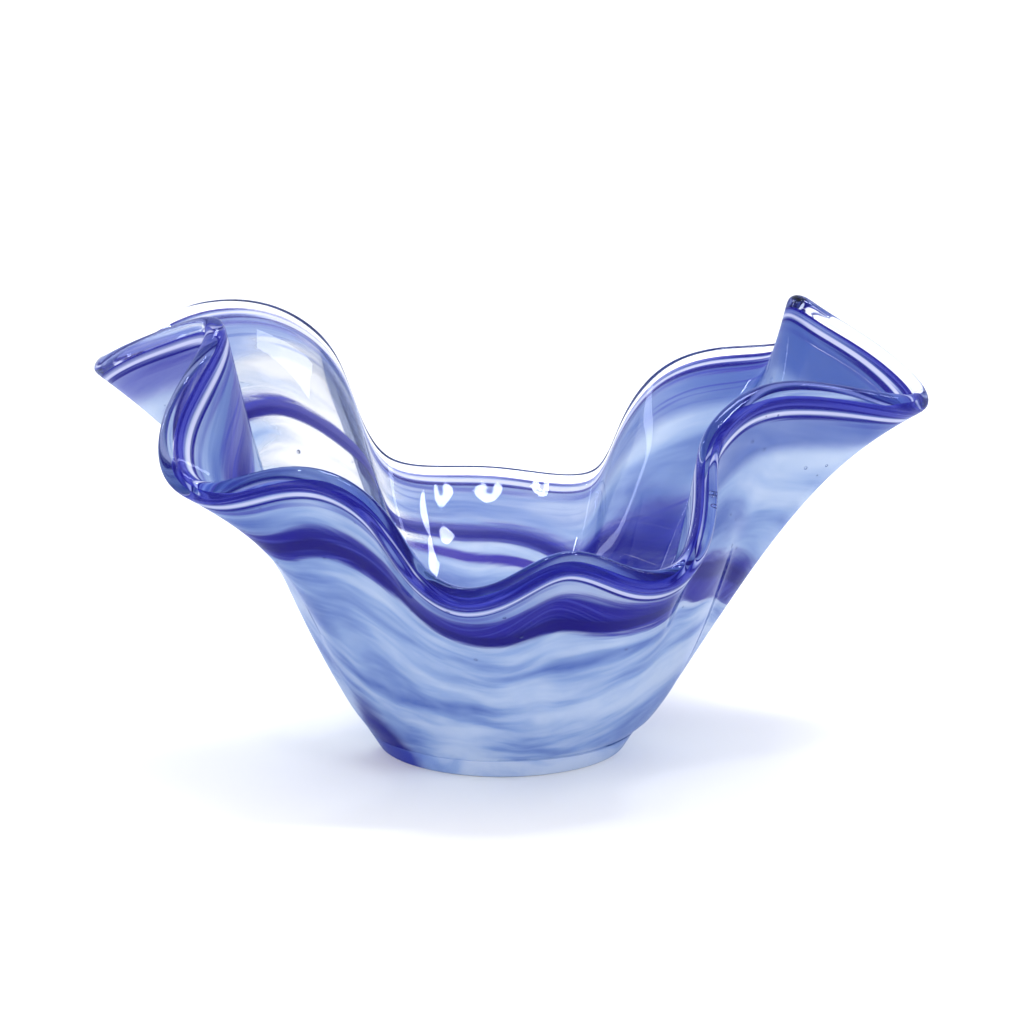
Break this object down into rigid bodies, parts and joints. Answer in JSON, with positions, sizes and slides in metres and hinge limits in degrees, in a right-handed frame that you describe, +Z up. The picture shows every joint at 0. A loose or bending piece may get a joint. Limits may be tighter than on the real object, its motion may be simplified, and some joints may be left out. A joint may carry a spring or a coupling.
{
  "type": "art glass bowl",
  "caption": "Hand-blown cased glass bowl with a wide ruffled rim, milky blue opal ground and cobalt bands, on a flat polished foot.",
  "frame": {"origin": "centre of the flat polished foot, on the surface the bowl stands on", "axes": "+Z up, +X along the bowl's longest reach from lobe to lobe, low front dip of the rim towards -Y"},
  "size_m": [0.2819, 0.2085, 0.1477],
  "materials": {
    "foot_pad": "clear glass over milky blue, flat polished foot",
    "outer_casing": "clear glass, fire polished",
    "inner_gather": "clear glass, fire polished",
    "clear_lip": "clear glass, rounded and fire polished",
    "opal_ground": "milky blue opal glass with drawn wisps",
    "opal_collar": "milky blue opal glass with drawn wisps",
    "cobalt_foot_trail": "deep cobalt glass with a feathered edge",
    "cobalt_sweep_band": "deep cobalt glass with a feathered edge",
    "cobalt_rim_band": "deep cobalt glass with a feathered edge"
  },
  "bodies": {
    "root": {"foot_pad": "foot_pad", "outer_casing": "outer_casing", "inner_gather": "inner_gather", "clear_lip": "clear_lip", "opal_ground": "opal_ground", "opal_collar": "opal_collar", "cobalt_foot_trail": "cobalt_foot_trail", "cobalt_sweep_band": "cobalt_sweep_band", "cobalt_rim_band": "cobalt_rim_band"}
  },
  "joints": []
}
